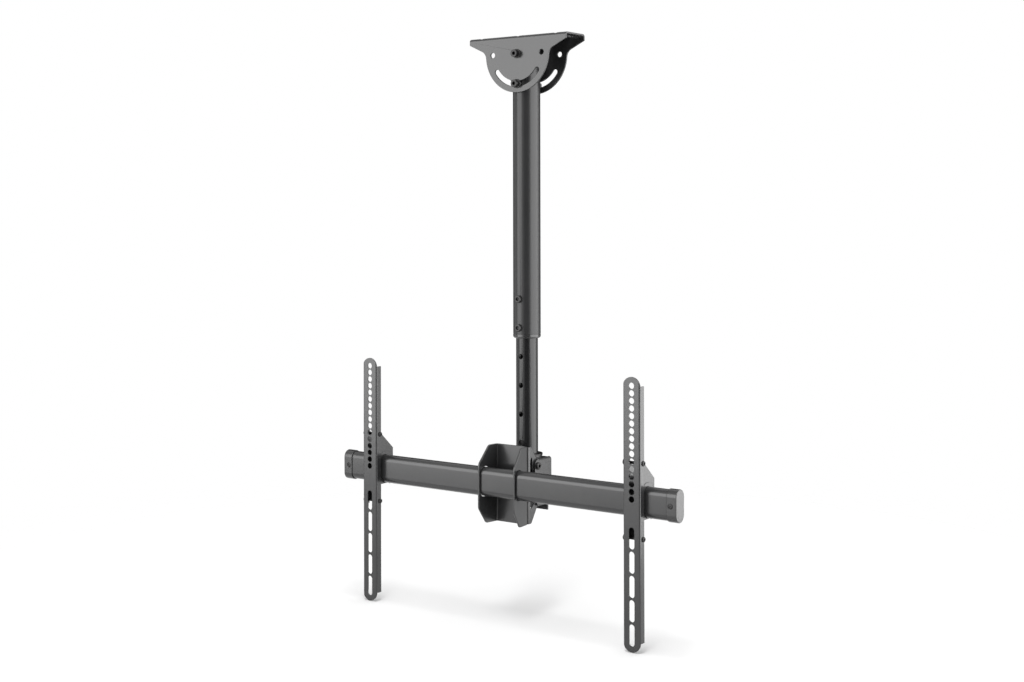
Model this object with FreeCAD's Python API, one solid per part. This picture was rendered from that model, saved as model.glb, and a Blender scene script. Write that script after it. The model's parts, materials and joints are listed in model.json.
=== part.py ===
import FreeCAD, Part
import math
import os

# A telescopic ceiling mount for a television, in millimetres.
# The origin is the centre of the ceiling plate's top face. +Z is up, X runs along the crossbar,
# and -Y is the side where the television hangs.

# Sheet metal
plate_sheet = 3.0
plate_bend = 2.0
rail_sheet = 2.0
rail_bend = 1.0

# Clearances, measured on the radius or on one side
screw_clearance = 0.1
running_clearance = 0.1
collar_clearance = 0.3
liner_clearance = 0.4
tip_clearance = 0.5
rail_fit = 0.25

# Screw sizes
pivot_screw = 8.0
height_screw = 8.0
swivel_screw = 12.0
bar_screw = 8.0
rail_screw = 5.0
clamp_screw = 6.0
cap_screw = 4.0

# Heads, sockets, nuts and washers, as shares of the screw's size
head_share = 0.75
head_margin = 0.5
low_head = 0.65
button_head = 0.5
socket_share = 0.7
socket_depth = 0.6
nut_flats = 1.62
nut_height = 0.8
washer_height = 0.2
thin_washer_height = 0.15
thread_past_nut = 1.5

# Ceiling plate
plate_length = 206.0
tip_height = 11.0
flank_slope = 25.0
flank_radius = 15.0
lean_slot_radius = 52.0
lean_slot_width = 9.5
lean_slot_reach = 60.0
ear_rim = 10.25
ceiling_slot_width = 9.0
ceiling_slot_spacing = 79.0
ceiling_slot_margin = 1.5
ceiling_slot_web = 12.0

# Pole, with its cross sleeves and end collar
pole_diameter = 48.0
pole_wall = 2.0
pole_length = 499.5
pole_above_pivot = 13.0
pole_swing_gap = 1.2
sleeve_diameter = 12.0
sleeve_proud = 2.0
collar_height = 7.3
collar_spigot = 5.0
collar_chamfer = 2.5
collar_groove = 0.6
collar_edge = 1.0

# Inner tube and the holes that set its height
tube_diameter = 38.0
tube_wall = 2.0
height_pitch = 50.0
height_hole = 9.0
height_screw_rise = 11.0
holes_each_way = 4
tube_top_margin = 10.0
tube_foot_margin = 19.0
bush_rise = 6.0
bush_skirt = 4.0

# Foot of the inner tube and the swivel under it
foot_diameter = 54.0
foot_thickness = 3.5
foot_plug = 22.0
swivel_thread_margin = 4.0
swivel_washer_diameter = 52.0
swivel_washer = 2.0

# Swivel yoke and the tilt joint
yoke_roof_front = 17.0
yoke_rear = 21.0
yoke_front_margin = 8.0
yoke_corner = 11.0
yoke_foot_margin = 11.0
yoke_chamfer_width = 8.0
yoke_chamfer_height = 20.0
yoke_foot_corner = 3.0
yoke_flange = 93.5
yoke_flange_relief = 1.5
tilt_pivot_forward = 20.0
tilt_pivot_drop = 11.5
tilt_lock_back = 12.0
tilt_lock_drop = 58.0
tilt_slot_play = 0.5
tilt_back_limit = 12.0
tilt_front_limit = 5.0
tilt_washer = 0.8

# Tilt bracket
bracket_width = 66.0
bracket_reach = 24.0
bracket_above_pivot = 34.0
bracket_shoulder = 10.0
bracket_neck = 14.0
bracket_eye_radius = 8.0
bracket_boss_radius = 10.5
bracket_strip = 7.5
bracket_band = 10.0
bracket_toe = 10.3
bracket_toe_corner = 5.0
bracket_corner = 3.0
window_top_drop = 16.0
window_top_height = 7.0
window_top_width = 5.0
window_foot_rise = 22.0
window_top_corner = 1.5
window_waist_corner = 6.0

# Cradle of the crossbar
cradle_above_bar = 61.6
cradle_below_bar = 72.0
cradle_depth = 47.0
cradle_flare = 7.3
cradle_top_slope = 25.0
cradle_top_drop = 31.0
cradle_foot_slope = 18.0
cradle_foot_rise = 27.0
cradle_top_corner = 8.0
cradle_shoulder_corner = 14.0
cradle_knee_corner = 12.0
cradle_toe_corner = 6.0
cradle_gap = 0.8
cradle_gap_corner = 10.2

# Crossbar
bar_height = 50.0
bar_depth = 22.0
bar_wall = 2.0
bar_length = 694.0
bar_below_pivot = 25.6
bar_spacer = 18.0
bar_spacer_diameter = 16.0
bar_screw_spacing = 36.0
cap_wall = 1.5
cap_end = 3.0
cap_sleeve = 15.5
cap_screw_inset = 8.0
cap_screw_length = 5.0
cap_recess_margin = 1.1
cap_recess_depth = 1.0
cap_screw_head = 0.9

# Television rails
rail_offset = 276.0
rail_width = 32.0
rail_flange = 12.5
rail_above_bar = 200.6
rail_below_bar = 235.4
rail_flange_inset = 16.0
rail_standoff = 2.0
rail_hole = 10.2
rail_hole_count = 16
rail_hole_pitch = 12.0
rail_hole_start = 14.0
rail_slot_count = 5
rail_slot_pitch = 38.4
rail_slot_length = 35.0
rail_slot_start = 238.2

# Sliders that carry the rails on the crossbar
slider_upper_screw = 63.6
slider_lower_screw = 56.4
slider_screw_margin = 6.5
slider_screw_inset = 9.5
slider_rear_gap = 13.0
slider_slope_top = 60.6
slider_slope_foot = 33.6
slider_leg = 2.0
slider_crown = 7.0
slider_corner = 6.0
slider_top_corner = 3.0
slider_tongue_drop = 4.0
liner_wall = 1.5
liner_roof = 6.0
liner_corner = 11.0
liner_foot_corner = 4.0
liner_proud = 1.0

# Positions that follow from the sizes above
pole_radius = pole_diameter / 2
pole_bore = pole_radius - pole_wall
ear_gap = pole_diameter + 2 * sleeve_proud
plate_width = ear_gap + 2 * plate_sheet
pivot_z = -(plate_sheet + math.hypot(pole_radius, pole_above_pivot) + pole_swing_gap)
lean_lock_z = pivot_z - lean_slot_radius
lobe_radius = lean_slot_radius + lean_slot_width / 2 + ear_rim
pole_top_z = pivot_z + pole_above_pivot
pole_foot_z = pole_top_z - pole_length
collar_foot_z = pole_foot_z - collar_height
lower_screw_z = pole_foot_z + height_screw_rise
upper_screw_z = lower_screw_z + height_pitch

tube_radius = tube_diameter / 2
tube_bore = tube_radius - tube_wall
tube_top_z = lower_screw_z + holes_each_way * height_pitch + tube_top_margin
tube_foot_z = lower_screw_z - holes_each_way * height_pitch - tube_foot_margin
foot_z = tube_foot_z - foot_thickness
yoke_top_z = foot_z - swivel_washer

pivot_y = -tilt_pivot_forward
tilt_z = yoke_top_z - tilt_pivot_drop
lock_y = pivot_y + tilt_lock_back
lock_z = tilt_z - tilt_lock_drop
yoke_inside = bracket_width / 2 + tilt_washer
yoke_outside = yoke_inside + plate_sheet
yoke_front_y = pivot_y - yoke_front_margin
yoke_foot_z = lock_z - yoke_foot_margin

bracket_front_y = pivot_y - bracket_reach
cradle_front_y = bracket_front_y - plate_sheet
bar_rear_y = cradle_front_y - bar_spacer
bar_y = bar_rear_y - bar_depth / 2
bar_front_y = bar_y - bar_depth / 2
bar_z = tilt_z - bar_below_pivot
cradle_top_z = bar_z + cradle_above_bar
cradle_foot_z = bar_z - cradle_below_bar
bracket_top_z = tilt_z + bracket_above_pivot

rail_rear_y = bar_front_y - rail_standoff
rail_front_y = rail_rear_y - rail_flange
rail_screw_y = rail_front_y + slider_screw_inset
slider_half = rail_width / 2 - rail_sheet - rail_fit
slider_rear_y = bar_rear_y + slider_rear_gap


# Drawing planes: each turns (across, up, along) into a point
def from_front(across, up, along):
    return FreeCAD.Vector(across, along, up)


def from_side(across, up, along):
    return FreeCAD.Vector(along, across, up)


def from_above(across, up, along):
    return FreeCAD.Vector(across, up, along)


# Corners are (across, up, radius), and each corner with a radius becomes a tangent arc
def outline(plane, corners, along):
    count = len(corners)
    stretches = []
    for index, (across, up, radius) in enumerate(corners):
        corner = FreeCAD.Vector(across, up, 0)
        before = FreeCAD.Vector(corners[index - 1][0], corners[index - 1][1], 0) - corner
        after = FreeCAD.Vector(corners[(index + 1) % count][0], corners[(index + 1) % count][1], 0) - corner
        before.normalize()
        after.normalize()
        if radius == 0:
            stretches.append([corner])
            continue
        half = before.getAngle(after) / 2
        inward = before + after
        inward.normalize()
        centre = corner + inward * (radius / math.sin(half))
        setback = radius / math.tan(half)
        stretches.append([corner + before * setback, centre - inward * radius, corner + after * setback])
    edges = []
    for index, stretch in enumerate(stretches):
        points = [plane(point.x, point.y, along) for point in stretch]
        if len(points) == 3:
            edges.append(Part.Arc(*points).toShape())
        start = points[-1]
        following = stretches[(index + 1) % count][0]
        end = plane(following.x, following.y, along)
        if (end - start).Length > 1e-6:
            edges.append(Part.makeLine(start, end))
    return Part.Wire(edges)


def prism(plane, corners, start, end):
    face = Part.Face(outline(plane, corners, start))
    return face.extrude(plane(0, 0, end - start))


def block(plane, left, right, foot, top, start, end):
    return prism(plane, [(left, foot, 0), (right, foot, 0), (right, top, 0), (left, top, 0)], start, end)


def rounded_block(plane, left, right, foot, top, radius, start, end):
    corners = [(left, foot, radius), (right, foot, radius), (right, top, radius), (left, top, radius)]
    return prism(plane, corners, start, end)


def rod(plane, across, up, radius, start, end):
    return Part.makeCylinder(radius, end - start, plane(across, up, start), plane(0, 0, 1))


def ring(plane, across, up, outer, inner, start, end):
    return rod(plane, across, up, outer, start, end).cut(rod(plane, across, up, inner, start, end))


def hexagon(plane, across, up, flats, start, end):
    reach = flats / math.sqrt(3)
    corners = []
    for side in range(6):
        angle = math.radians(60 * side)
        corners.append((across + reach * math.cos(angle), up + reach * math.sin(angle), 0))
    return prism(plane, corners, start, end)


# A socket screw whose head bears on the plane "seat" and whose shank runs to "tip"
def screw(plane, across, up, size, seat, tip, head_height):
    away = 1 if seat > tip else -1
    head_end = seat + away * head_height
    socket_foot = head_end - away * head_height * socket_depth
    head_radius = head_share * size + head_margin
    head = rod(plane, across, up, head_radius, min(seat, head_end), max(seat, head_end))
    shank = rod(plane, across, up, size / 2, min(seat, tip), max(seat, tip))
    socket = hexagon(plane, across, up, socket_share * size,
                     min(socket_foot, head_end), max(socket_foot, head_end))
    return head.fuse(shank).cut(socket).removeSplitter()


def nut(plane, across, up, size, start, end):
    body = hexagon(plane, across, up, nut_flats * size, start, end)
    return body.cut(rod(plane, across, up, size / 2, start, end))


# A ring sector: the path of a screw that swings about a pivot
def swing_slot(plane, across, up, radius, width, low, high, start, end):
    def at(distance, angle):
        return plane(across + distance * math.cos(angle), up + distance * math.sin(angle), start)

    middle = (low + high) / 2
    outer = radius + width / 2
    inner = radius - width / 2
    past = width / 2 / radius
    edges = [
        Part.Arc(at(outer, low), at(outer, middle), at(outer, high)).toShape(),
        Part.Arc(at(outer, high), at(radius, high + past), at(inner, high)).toShape(),
        Part.Arc(at(inner, high), at(inner, middle), at(inner, low)).toShape(),
        Part.Arc(at(inner, low), at(radius, low - past), at(outer, low)).toShape(),
    ]
    return Part.Face(Part.Wire(edges)).extrude(plane(0, 0, end - start))


# A channel section: its web's outer face lies at "back" and its flanges run to "lips"
def channel_corners(half_width, back, lips, sheet, bend):
    inward = 1 if lips > back else -1
    inside = half_width - sheet
    floor = back + inward * sheet
    return [
        (-half_width, lips, 0),
        (-half_width, back, bend + sheet),
        (half_width, back, bend + sheet),
        (half_width, lips, 0),
        (inside, lips, 0),
        (inside, floor, bend),
        (-inside, floor, bend),
        (-inside, lips, 0),
    ]


def group(solids):
    return Part.makeCompound(solids)


nodes = {}


# The ceiling plate's ears: a lobe about the pivot that flows into the sloping underside of each tip
def ear_face(along):
    half = plate_length / 2
    slope = math.radians(flank_slope)
    pivot = FreeCAD.Vector(0, pivot_z, 0)
    tip = FreeCAD.Vector(half, -tip_height, 0)
    inward = FreeCAD.Vector(-math.cos(slope), -math.sin(slope), 0)
    below = FreeCAD.Vector(math.sin(slope), -math.cos(slope), 0)
    reach = lobe_radius + flank_radius
    start = tip + below * flank_radius - pivot
    lead = start.dot(inward)
    travel = -lead - math.sqrt(lead ** 2 - start.dot(start) + reach ** 2)
    centre = pivot + start + inward * travel
    on_flank = tip + inward * travel
    on_lobe = pivot + (centre - pivot) * (lobe_radius / reach)
    towards = (on_flank - centre) + (on_lobe - centre)
    towards.normalize()
    middle = centre + towards * flank_radius

    def right(point):
        return from_front(point.x, point.y, along)

    def left(point):
        return from_front(-point.x, point.y, along)

    top = FreeCAD.Vector(half, 0, 0)
    lobe_foot = FreeCAD.Vector(0, pivot_z - lobe_radius, 0)
    edges = [
        Part.makeLine(left(top), right(top)),
        Part.makeLine(right(top), right(tip)),
        Part.makeLine(right(tip), right(on_flank)),
        Part.Arc(right(on_flank), right(middle), right(on_lobe)).toShape(),
        Part.Arc(right(on_lobe), right(lobe_foot), left(on_lobe)).toShape(),
        Part.Arc(left(on_lobe), left(middle), left(on_flank)).toShape(),
        Part.makeLine(left(on_flank), left(tip)),
        Part.makeLine(left(tip), left(top)),
    ]
    return Part.Face(Part.Wire(edges))


def make_ceiling_plate():
    half = plate_width / 2
    lips = pivot_z - lobe_radius - plate_sheet
    section = channel_corners(half, 0, lips, plate_sheet, plate_bend)
    folded = prism(from_side, section, -plate_length / 2, plate_length / 2)
    plate = folded.common(ear_face(-half).extrude(FreeCAD.Vector(0, plate_width, 0)))
    hole = pivot_screw / 2 + screw_clearance
    end_angle = math.radians(lean_slot_reach) - lean_slot_width / 2 / lean_slot_radius
    cuts = [rod(from_front, 0, pivot_z, hole, -half, half)]
    cuts.append(swing_slot(from_front, 0, pivot_z, lean_slot_radius, lean_slot_width,
                           -math.pi / 2 - end_angle, -math.pi / 2 + end_angle, -half, half))
    for side in (-1, 1):
        cuts.append(rod(from_front, side * lean_slot_radius, pivot_z, lean_slot_width / 2, -half, half))
    near = ceiling_slot_web / 2
    far = half - ceiling_slot_margin
    for place in (-1, 0, 1):
        middle = place * ceiling_slot_spacing
        left = middle - ceiling_slot_width / 2
        right = middle + ceiling_slot_width / 2
        for low, high in ((-far, -near), (near, far)):
            cuts.append(rounded_block(from_above, left, right, low, high,
                                      ceiling_slot_width / 2, -plate_sheet - plate_bend / 4, 0))
    for cut in cuts:
        plate = plate.cut(cut)
    return plate


nodes["ceiling_plate"] = make_ceiling_plate()


# A long screw across both ears, with a washer under its head and a washer and nut behind
def across_ears(name, up):
    face = plate_width / 2
    washer = washer_height * pivot_screw
    thread = pivot_screw / 2
    outer = pivot_screw
    nut_end = face + washer + nut_height * pivot_screw
    nodes[name + "_screw"] = screw(from_front, 0, up, pivot_screw, -face - washer,
                                   nut_end + thread_past_nut, pivot_screw)
    nodes[name + "_washers"] = group([
        ring(from_front, 0, up, outer, thread, -face - washer, -face),
        ring(from_front, 0, up, outer, thread, face, face + washer),
    ])
    nodes[name + "_nut"] = nut(from_front, 0, up, pivot_screw, face + washer, nut_end)


across_ears("lean_pivot", pivot_z)
across_ears("lean_lock", lean_lock_z)


def make_pole():
    pole = ring(from_above, 0, 0, pole_radius, pole_bore, pole_foot_z, pole_top_z)
    for up in (pivot_z, lean_lock_z):
        pole = pole.cut(rod(from_front, 0, up, sleeve_diameter / 2, -pole_radius, pole_radius))
    for up in (upper_screw_z, lower_screw_z):
        pole = pole.cut(rod(from_front, 0, up, height_screw / 2, -pole_radius, 0))
    return pole


nodes["outer_pole"] = make_pole()

sleeve_hole = pivot_screw / 2 + screw_clearance
nodes["cross_sleeves"] = group([
    ring(from_front, 0, up, sleeve_diameter / 2, sleeve_hole, -ear_gap / 2, ear_gap / 2)
    for up in (pivot_z, lean_lock_z)
])


# The collar closes the pole's end: a tapered lip below a spigot that guides the inner tube
def make_collar():
    bore = tube_radius + collar_clearance
    spigot = pole_bore - screw_clearance
    outline_points = [
        (bore, collar_foot_z, 0),
        (pole_radius - collar_chamfer, collar_foot_z, collar_edge),
        (pole_radius, collar_foot_z + collar_chamfer, collar_edge),
        (pole_radius, pole_foot_z - collar_groove, 0),
        (pole_radius - collar_groove, pole_foot_z - collar_groove, 0),
        (pole_radius - collar_groove, pole_foot_z, 0),
        (spigot, pole_foot_z, 0),
        (spigot, pole_foot_z + collar_spigot, 0),
        (bore, pole_foot_z + collar_spigot, 0),
    ]
    section = Part.Face(outline(from_front, outline_points, 0))
    return section.revolve(FreeCAD.Vector(0, 0, 0), FreeCAD.Vector(0, 0, 1), 360)


nodes["pole_collar"] = make_collar()

# The height screws are drawn backed out, so that their tips clear the inner tube
nodes["height_screws"] = group([
    screw(from_front, 0, up, height_screw, -pole_radius, -tube_radius - tip_clearance,
          low_head * height_screw)
    for up in (upper_screw_z, lower_screw_z)
])


def make_inner_tube():
    tube = ring(from_above, 0, 0, tube_radius, tube_bore, tube_foot_z, tube_top_z)
    for step in range(-holes_each_way, holes_each_way + 1):
        up = lower_screw_z + step * height_pitch
        tube = tube.cut(rod(from_front, 0, up, height_hole / 2, -tube_radius, tube_radius))
    return tube


nodes["inner_tube"] = make_inner_tube()


# A stepped guide bush on top of the inner tube runs in the pole's bore
def make_guide_bush():
    outer = pole_bore - running_clearance
    skirt = ring(from_above, 0, 0, outer, tube_radius, tube_top_z - bush_skirt, tube_top_z)
    cap = ring(from_above, 0, 0, outer, tube_bore, tube_top_z, tube_top_z + bush_rise)
    return skirt.fuse(cap).removeSplitter()


nodes["guide_bush"] = make_guide_bush()


# The turned foot: a flange that the tube stands on, and a threaded plug inside the tube
def make_foot():
    flange = rod(from_above, 0, 0, foot_diameter / 2, foot_z, tube_foot_z)
    plug = rod(from_above, 0, 0, tube_bore, tube_foot_z, tube_foot_z + foot_plug)
    thread = rod(from_above, 0, 0, swivel_screw / 2, foot_z, tube_foot_z + foot_plug)
    return flange.fuse(plug).cut(thread).removeSplitter()


nodes["tube_foot"] = make_foot()

swivel_hole = swivel_screw / 2 + screw_clearance
nodes["swivel_washer"] = ring(from_above, 0, 0, swivel_washer_diameter / 2, swivel_hole, yoke_top_z, foot_z)

steel_washer = thin_washer_height * swivel_screw
roof_under_z = yoke_top_z - plate_sheet
nodes["swivel_under_washer"] = ring(from_above, 0, 0, swivel_screw, swivel_hole,
                                    roof_under_z - steel_washer, roof_under_z)
nodes["swivel_screw"] = screw(from_above, 0, 0, swivel_screw, roof_under_z - steel_washer,
                              tube_foot_z + foot_plug - swivel_thread_margin, low_head * swivel_screw)


def side_angle(across, up):
    return math.atan2(up - tilt_z, across - pivot_y)


# The yoke: one sheet folded into a roof and two cheeks, with a flange at the rear between them
def make_yoke():
    section = channel_corners(yoke_outside, yoke_top_z, yoke_foot_z, plate_sheet, plate_bend)
    yoke = prism(from_front, section, -yoke_roof_front, yoke_rear)
    cheek = [
        (yoke_front_y, yoke_top_z, yoke_corner),
        (-yoke_roof_front, yoke_top_z, 0),
        (-yoke_roof_front, yoke_foot_z, 0),
        (yoke_front_y + yoke_chamfer_width, yoke_foot_z, yoke_foot_corner),
        (yoke_front_y, yoke_foot_z + yoke_chamfer_height, yoke_foot_corner),
    ]
    for side in (-1, 1):
        low = min(side * yoke_inside, side * yoke_outside)
        high = max(side * yoke_inside, side * yoke_outside)
        yoke = yoke.fuse(prism(from_side, cheek, low, high))
    fold = plate_sheet + plate_bend
    flat = yoke_inside - plate_bend
    flange_foot_z = yoke_top_z - yoke_flange
    flange = [
        (yoke_rear - fold, yoke_top_z, 0),
        (yoke_rear, yoke_top_z, fold),
        (yoke_rear, flange_foot_z, 0),
        (yoke_rear - plate_sheet, flange_foot_z, 0),
        (yoke_rear - plate_sheet, roof_under_z, plate_bend),
        (yoke_rear - fold, roof_under_z, 0),
    ]
    yoke = yoke.cut(block(from_above, -flat, flat, yoke_rear - fold, yoke_rear, roof_under_z, yoke_top_z))
    yoke = yoke.fuse(prism(from_side, flange, yoke_flange_relief - flat, flat - yoke_flange_relief))
    yoke = yoke.removeSplitter()
    pivot_hole = pivot_screw / 2 + screw_clearance
    yoke = yoke.cut(rod(from_above, 0, 0, swivel_hole, roof_under_z, yoke_top_z))
    yoke = yoke.cut(rod(from_side, pivot_y, tilt_z, pivot_hole, -yoke_outside, yoke_outside))
    rest = side_angle(lock_y, lock_z)
    low = rest - math.radians(tilt_front_limit)
    high = rest + math.radians(tilt_back_limit)
    slot_width = pivot_screw + 2 * tilt_slot_play
    swing = math.hypot(tilt_lock_back, tilt_lock_drop)
    return yoke.cut(swing_slot(from_side, pivot_y, tilt_z, swing, slot_width, low, high,
                               -yoke_outside, yoke_outside))


nodes["swivel_yoke"] = make_yoke()


# The tilt bracket: a channel whose open ears carry the pivot eye and the lock boss
def make_tilt_bracket():
    half = bracket_width / 2
    lips = lock_y + bracket_boss_radius + plate_sheet
    section = channel_corners(half, bracket_front_y, lips, plate_sheet, plate_bend)
    folded = prism(from_above, section, cradle_foot_z, bracket_top_z)
    length = math.hypot(tilt_lock_back, tilt_lock_drop)
    down = (tilt_lock_back / length, -tilt_lock_drop / length)
    forward = (down[1], -down[0])
    strip_y = bracket_front_y + bracket_strip

    def beside(across, up, offset):
        return (across + forward[0] * offset, up + forward[1] * offset)

    toe_y = bracket_front_y + bracket_toe
    body = [
        (bracket_front_y, bracket_top_z, 0),
        (bracket_front_y + bracket_shoulder, bracket_top_z, bracket_corner),
        (pivot_y, tilt_z + bracket_neck, bracket_corner),
        (pivot_y, tilt_z, 0),
        (lock_y, lock_z, 0),
        (toe_y, cradle_foot_z, bracket_toe_corner),
        (bracket_front_y, cradle_foot_z, 0),
    ]
    lean = math.asin((bracket_boss_radius - bracket_eye_radius) / length)
    band = []
    for turn in (-1, 1):
        angle = math.atan2(down[1], down[0]) + turn * (math.pi / 2 + lean)
        side = (math.cos(angle), math.sin(angle))
        eye = (pivot_y + side[0] * bracket_eye_radius, tilt_z + side[1] * bracket_eye_radius, 0)
        boss = (lock_y + side[0] * bracket_boss_radius, lock_z + side[1] * bracket_boss_radius, 0)
        band.extend([eye, boss] if turn < 0 else [boss, eye])
    ears = prism(from_side, body, -half, half)
    ears = ears.fuse(prism(from_side, band, -half, half))
    ears = ears.fuse(rod(from_side, pivot_y, tilt_z, bracket_eye_radius, -half, half))
    ears = ears.fuse(rod(from_side, lock_y, lock_z, bracket_boss_radius, -half, half))
    near_eye = beside(pivot_y, tilt_z, bracket_band)
    near_boss = beside(lock_y, lock_z, bracket_boss_radius + bracket_corner)
    window_top_z = bracket_top_z - window_top_drop
    window = [
        (strip_y, window_top_z - window_top_height, bracket_corner),
        (strip_y + window_top_width, window_top_z, window_top_corner),
        (near_eye[0], near_eye[1], window_waist_corner),
        (near_boss[0], near_boss[1], bracket_corner),
        (strip_y, cradle_foot_z + window_foot_rise, bracket_corner),
    ]
    ears = ears.cut(prism(from_side, window, -half, half))
    bracket = folded.common(ears)
    bracket = bracket.cut(rod(from_side, pivot_y, tilt_z, pivot_screw / 2, -half, half))
    bracket = bracket.cut(rod(from_side, lock_y, lock_z, pivot_screw / 2, -half, half))
    for side in (-1, 1):
        bracket = bracket.cut(rod(from_front, side * bar_screw_spacing / 2, bar_z, bar_screw / 2,
                                  bracket_front_y, bracket_front_y + plate_sheet))
    return bracket.removeSplitter()


nodes["tilt_bracket"] = make_tilt_bracket()


# Tilt screws: heads outside the yoke, nuts inside the bracket's ears
def make_tilt_hardware(name, across, up, head_height):
    screws = []
    nuts = []
    ear_inside = bracket_width / 2 - plate_sheet
    nut_end = ear_inside - nut_height * pivot_screw
    for side in (-1, 1):
        screws.append(screw(from_side, across, up, pivot_screw, side * yoke_outside,
                            side * (nut_end - thread_past_nut), head_height))
        ends = sorted((side * nut_end, side * ear_inside))
        nuts.append(nut(from_side, across, up, pivot_screw, ends[0], ends[1]))
    nodes["tilt_" + name + "_screws"] = group(screws)
    nodes["tilt_" + name + "_nuts"] = group(nuts)


make_tilt_hardware("pivot", pivot_y, tilt_z, button_head * pivot_screw)
make_tilt_hardware("lock", lock_y, lock_z, low_head * pivot_screw)

nodes["tilt_washers"] = group([
    ring(from_side, pivot_y, tilt_z, bracket_eye_radius - plate_bend, pivot_screw / 2 + screw_clearance,
         start, end)
    for start, end in ((-yoke_inside, -bracket_width / 2), (bracket_width / 2, yoke_inside))
])


# The cradle: a channel with flared ears that the crossbar passes through
def make_cradle():
    half = bracket_width / 2
    rear_y = bracket_front_y
    front_y = rear_y - cradle_depth
    flare = cradle_depth * math.tan(math.radians(cradle_flare))
    flare_cos = math.cos(math.radians(cradle_flare))
    lip_inset = plate_sheet / flare_cos
    inner_half = half - lip_inset + plate_sheet * math.tan(math.radians(cradle_flare))
    section = [
        (-half - flare, front_y, 0),
        (-half, rear_y, plate_bend + plate_sheet),
        (half, rear_y, plate_bend + plate_sheet),
        (half + flare, front_y, 0),
        (half + flare - lip_inset, front_y, 0),
        (inner_half, rear_y - plate_sheet, plate_bend),
        (-inner_half, rear_y - plate_sheet, plate_bend),
        (-half - flare + lip_inset, front_y, 0),
    ]
    folded = prism(from_above, section, cradle_foot_z, cradle_top_z)
    profile = [
        (rear_y, cradle_top_z, 0),
        (front_y + cradle_top_slope, cradle_top_z, cradle_top_corner),
        (front_y, cradle_top_z - cradle_top_drop, cradle_shoulder_corner),
        (front_y, cradle_foot_z + cradle_foot_rise, cradle_knee_corner),
        (front_y + cradle_foot_slope, cradle_foot_z, cradle_toe_corner),
        (rear_y, cradle_foot_z, 0),
    ]
    cradle = folded.common(prism(from_side, profile, -half - flare, half + flare))
    gap = cradle_gap
    passage = rounded_block(from_side, bar_front_y - gap, bar_rear_y + gap, bar_z - bar_height / 2 - gap,
                            bar_z + bar_height / 2 + gap, cradle_gap_corner, -half - flare, half + flare)
    cradle = cradle.cut(passage)
    for side in (-1, 1):
        cradle = cradle.cut(rod(from_front, side * bar_screw_spacing / 2, bar_z, bar_screw / 2,
                                cradle_front_y, bracket_front_y))
    return cradle


nodes["crossbar_cradle"] = make_cradle()


def oval(half_depth, half_height, start, end):
    return rounded_block(from_side, bar_y - half_depth, bar_y + half_depth, bar_z - half_height,
                         bar_z + half_height, half_depth, start, end)


def make_crossbar():
    half = bar_length / 2
    bar = oval(bar_depth / 2, bar_height / 2, -half, half)
    bar = bar.cut(oval(bar_depth / 2 - bar_wall, bar_height / 2 - bar_wall, -half, half))
    for side in (-1, 1):
        bar = bar.cut(rod(from_front, side * bar_screw_spacing / 2, bar_z, bar_screw / 2,
                          bar_rear_y - bar_wall, bar_rear_y))
        bar = bar.cut(rod(from_front, side * (half - cap_screw_inset), bar_z, cap_screw / 2,
                          bar_front_y, bar_front_y + bar_wall))
    return bar


nodes["crossbar"] = make_crossbar()

# Two screws from behind hold the crossbar off the cradle on spacers, with nuts inside the bar
bracket_rear_y = bracket_front_y + plate_sheet
bar_inside_y = bar_rear_y - bar_wall
bar_nut_y = bar_inside_y - nut_height * bar_screw
bar_screw_places = [-bar_screw_spacing / 2, bar_screw_spacing / 2]
nodes["crossbar_spacers"] = group([
    ring(from_front, across, bar_z, bar_spacer_diameter / 2, bar_screw / 2, bar_rear_y, cradle_front_y)
    for across in bar_screw_places
])
nodes["crossbar_screws"] = group([
    screw(from_front, across, bar_z, bar_screw, bracket_rear_y, bar_nut_y - thread_past_nut,
          low_head * bar_screw)
    for across in bar_screw_places
])
nodes["crossbar_nuts"] = group([
    nut(from_front, across, bar_z, bar_screw, bar_nut_y, bar_inside_y)
    for across in bar_screw_places
])


# Moulded end caps, each held by a screw through the front of the bar
def make_end_cap(side):
    bar_end = side * bar_length / 2
    closed = bar_end + side * cap_end
    open_end = bar_end - side * cap_sleeve
    front = bar_front_y - cap_wall
    cap = oval(bar_depth / 2 + cap_wall, bar_height / 2 + cap_wall,
               min(open_end, closed), max(open_end, closed))
    cap = cap.cut(oval(bar_depth / 2, bar_height / 2, min(open_end, bar_end), max(open_end, bar_end)))
    screw_x = bar_end - side * cap_screw_inset
    cap = cap.cut(rod(from_front, screw_x, bar_z, cap_screw / 2, front, bar_front_y))
    recess = head_share * cap_screw + cap_recess_margin
    return cap.cut(rod(from_front, screw_x, bar_z, recess, front, front + cap_recess_depth))


def make_cap_screw(side):
    screw_x = side * (bar_length / 2 - cap_screw_inset)
    seat = bar_front_y - cap_wall + cap_recess_depth
    return screw(from_front, screw_x, bar_z, cap_screw, seat, seat + cap_screw_length, cap_screw_head)


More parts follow.
